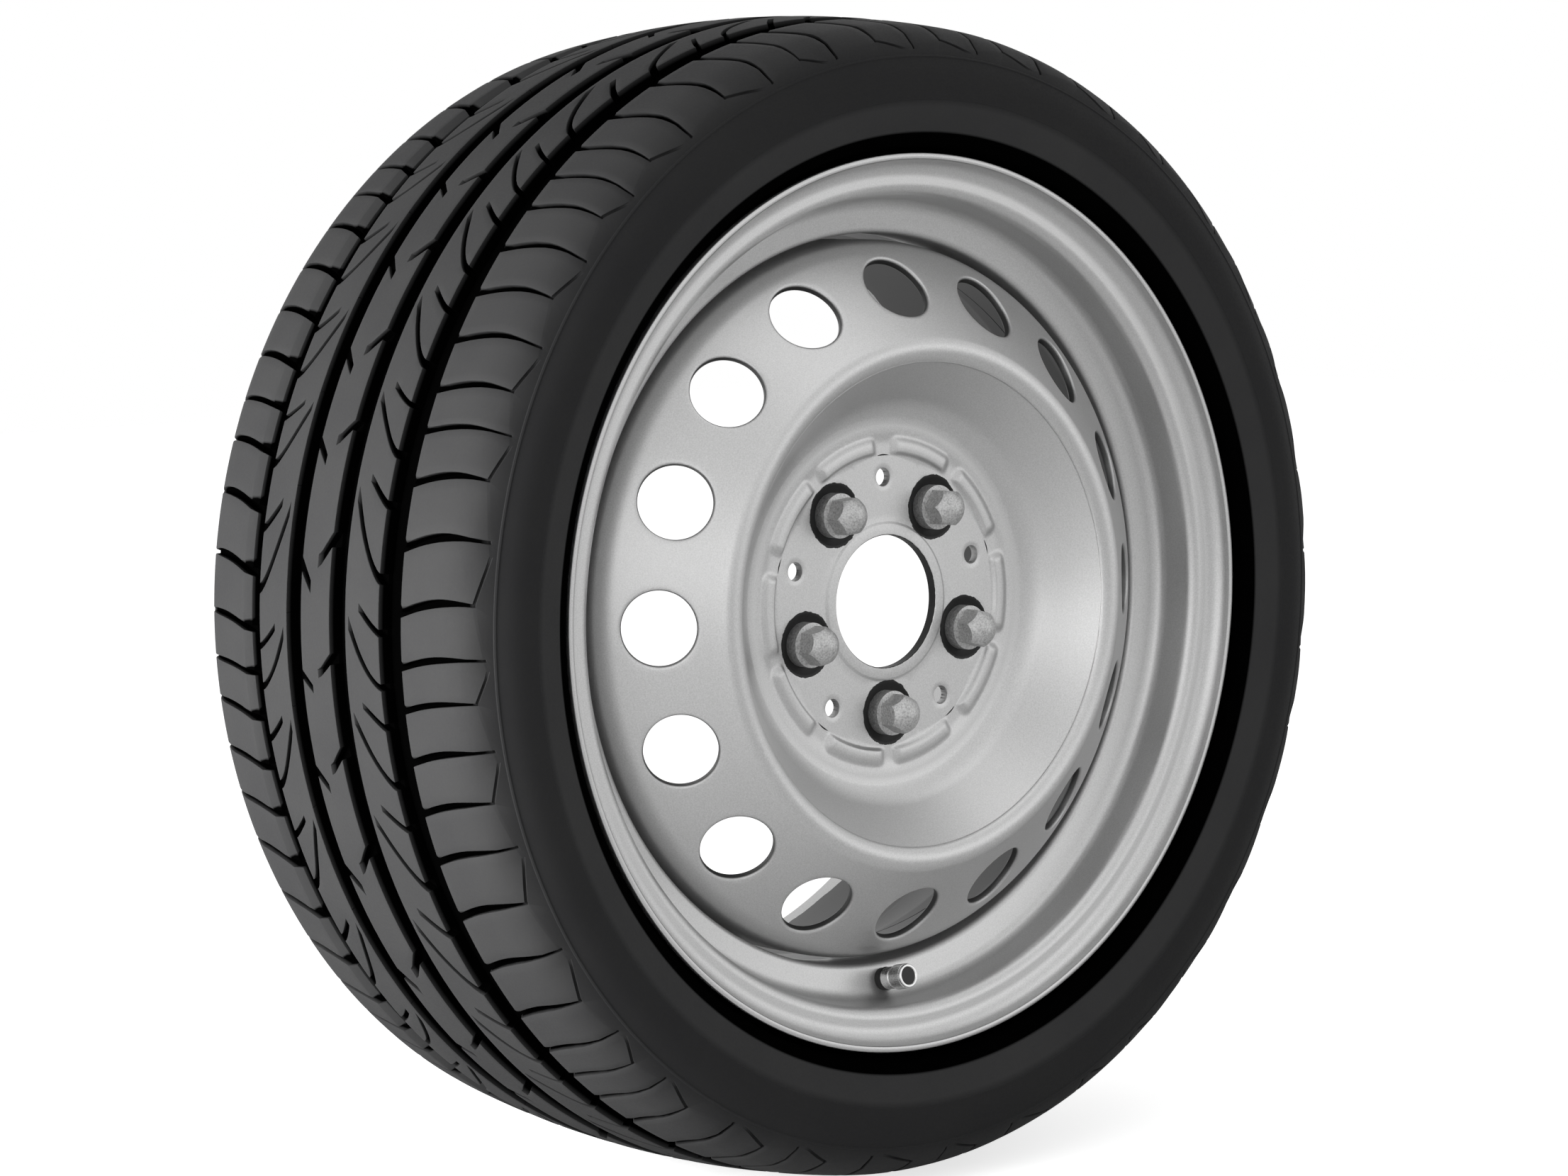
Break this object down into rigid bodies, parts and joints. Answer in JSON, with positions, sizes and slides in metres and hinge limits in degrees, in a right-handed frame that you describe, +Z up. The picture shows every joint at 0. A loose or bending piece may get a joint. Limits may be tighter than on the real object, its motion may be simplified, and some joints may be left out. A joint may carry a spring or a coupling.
{
  "type": "steel car wheel with tyre",
  "caption": "Silver pressed-steel road wheel with round vents, bolts in the hub face, a clamp-in valve and a grooved low-profile tyre.",
  "frame": {"origin": "middle of the rim on the wheel's axis", "axes": "+Z up with the valve at the bottom, Y along the axle, -Y out of the wheel's outer face, +Y towards the hub"},
  "size_m": [0.5868, 0.231, 0.5868],
  "materials": {
    "silver_paint": "satin silver paint with a fine grain",
    "tyre_rubber": "matt black rubber, greyer on the tread",
    "bolt_steel": "dull zinc coating",
    "valve_metal": "nickel plated",
    "core_brass": "turned",
    "black_rubber": "moulded",
    "black_plastic": "plain"
  },
  "bodies": {
    "wheel": {"rim": "silver_paint", "disc": "silver_paint", "disc_welds": "silver_paint", "tyre": "tyre_rubber", "wheel_bolts": "bolt_steel", "valve_stem": "valve_metal", "valve_grommet": "black_rubber", "valve_nut": "valve_metal", "valve_core_plug": "core_brass", "valve_core_gasket": "black_rubber", "valve_core_spring": "bolt_steel"},
    "core_pin": {"valve_core_pin": "core_brass", "valve_core_cup": "core_brass", "valve_core_cup_seal": "black_rubber"},
    "cap_seal": {"valve_cap_seal": "black_rubber"},
    "cap": {"valve_cap": "valve_metal", "valve_cap_insert": "black_plastic"}
  },
  "joints": [
    {"name": "valve_pin_press", "type": "slide", "parent": "wheel", "child": "core_pin", "axis": [0, 0.9781, -0.2079], "range_m": [0, 0.0015], "stiffness_N_per_m": 1000, "springref_m": -0.001, "deforming": ["valve_core_spring"]},
    {"name": "valve_cap_lift", "type": "slide", "parent": "wheel", "child": "cap_seal", "axis": [0, -0.9781, 0.2079], "range_m": [0, 0.00636]},
    {"name": "valve_cap_unscrew", "type": "hinge", "parent": "cap_seal", "child": "cap", "pos_m": [0, -0.0734, -0.19177], "axis": [0, -0.9781, 0.2079], "range_deg": [0, 2880]}
  ],
  "couplings": [
    {"joint": "valve_cap_lift", "follows": "valve_cap_unscrew", "m_per_rad": 0.00012633}
  ]
}
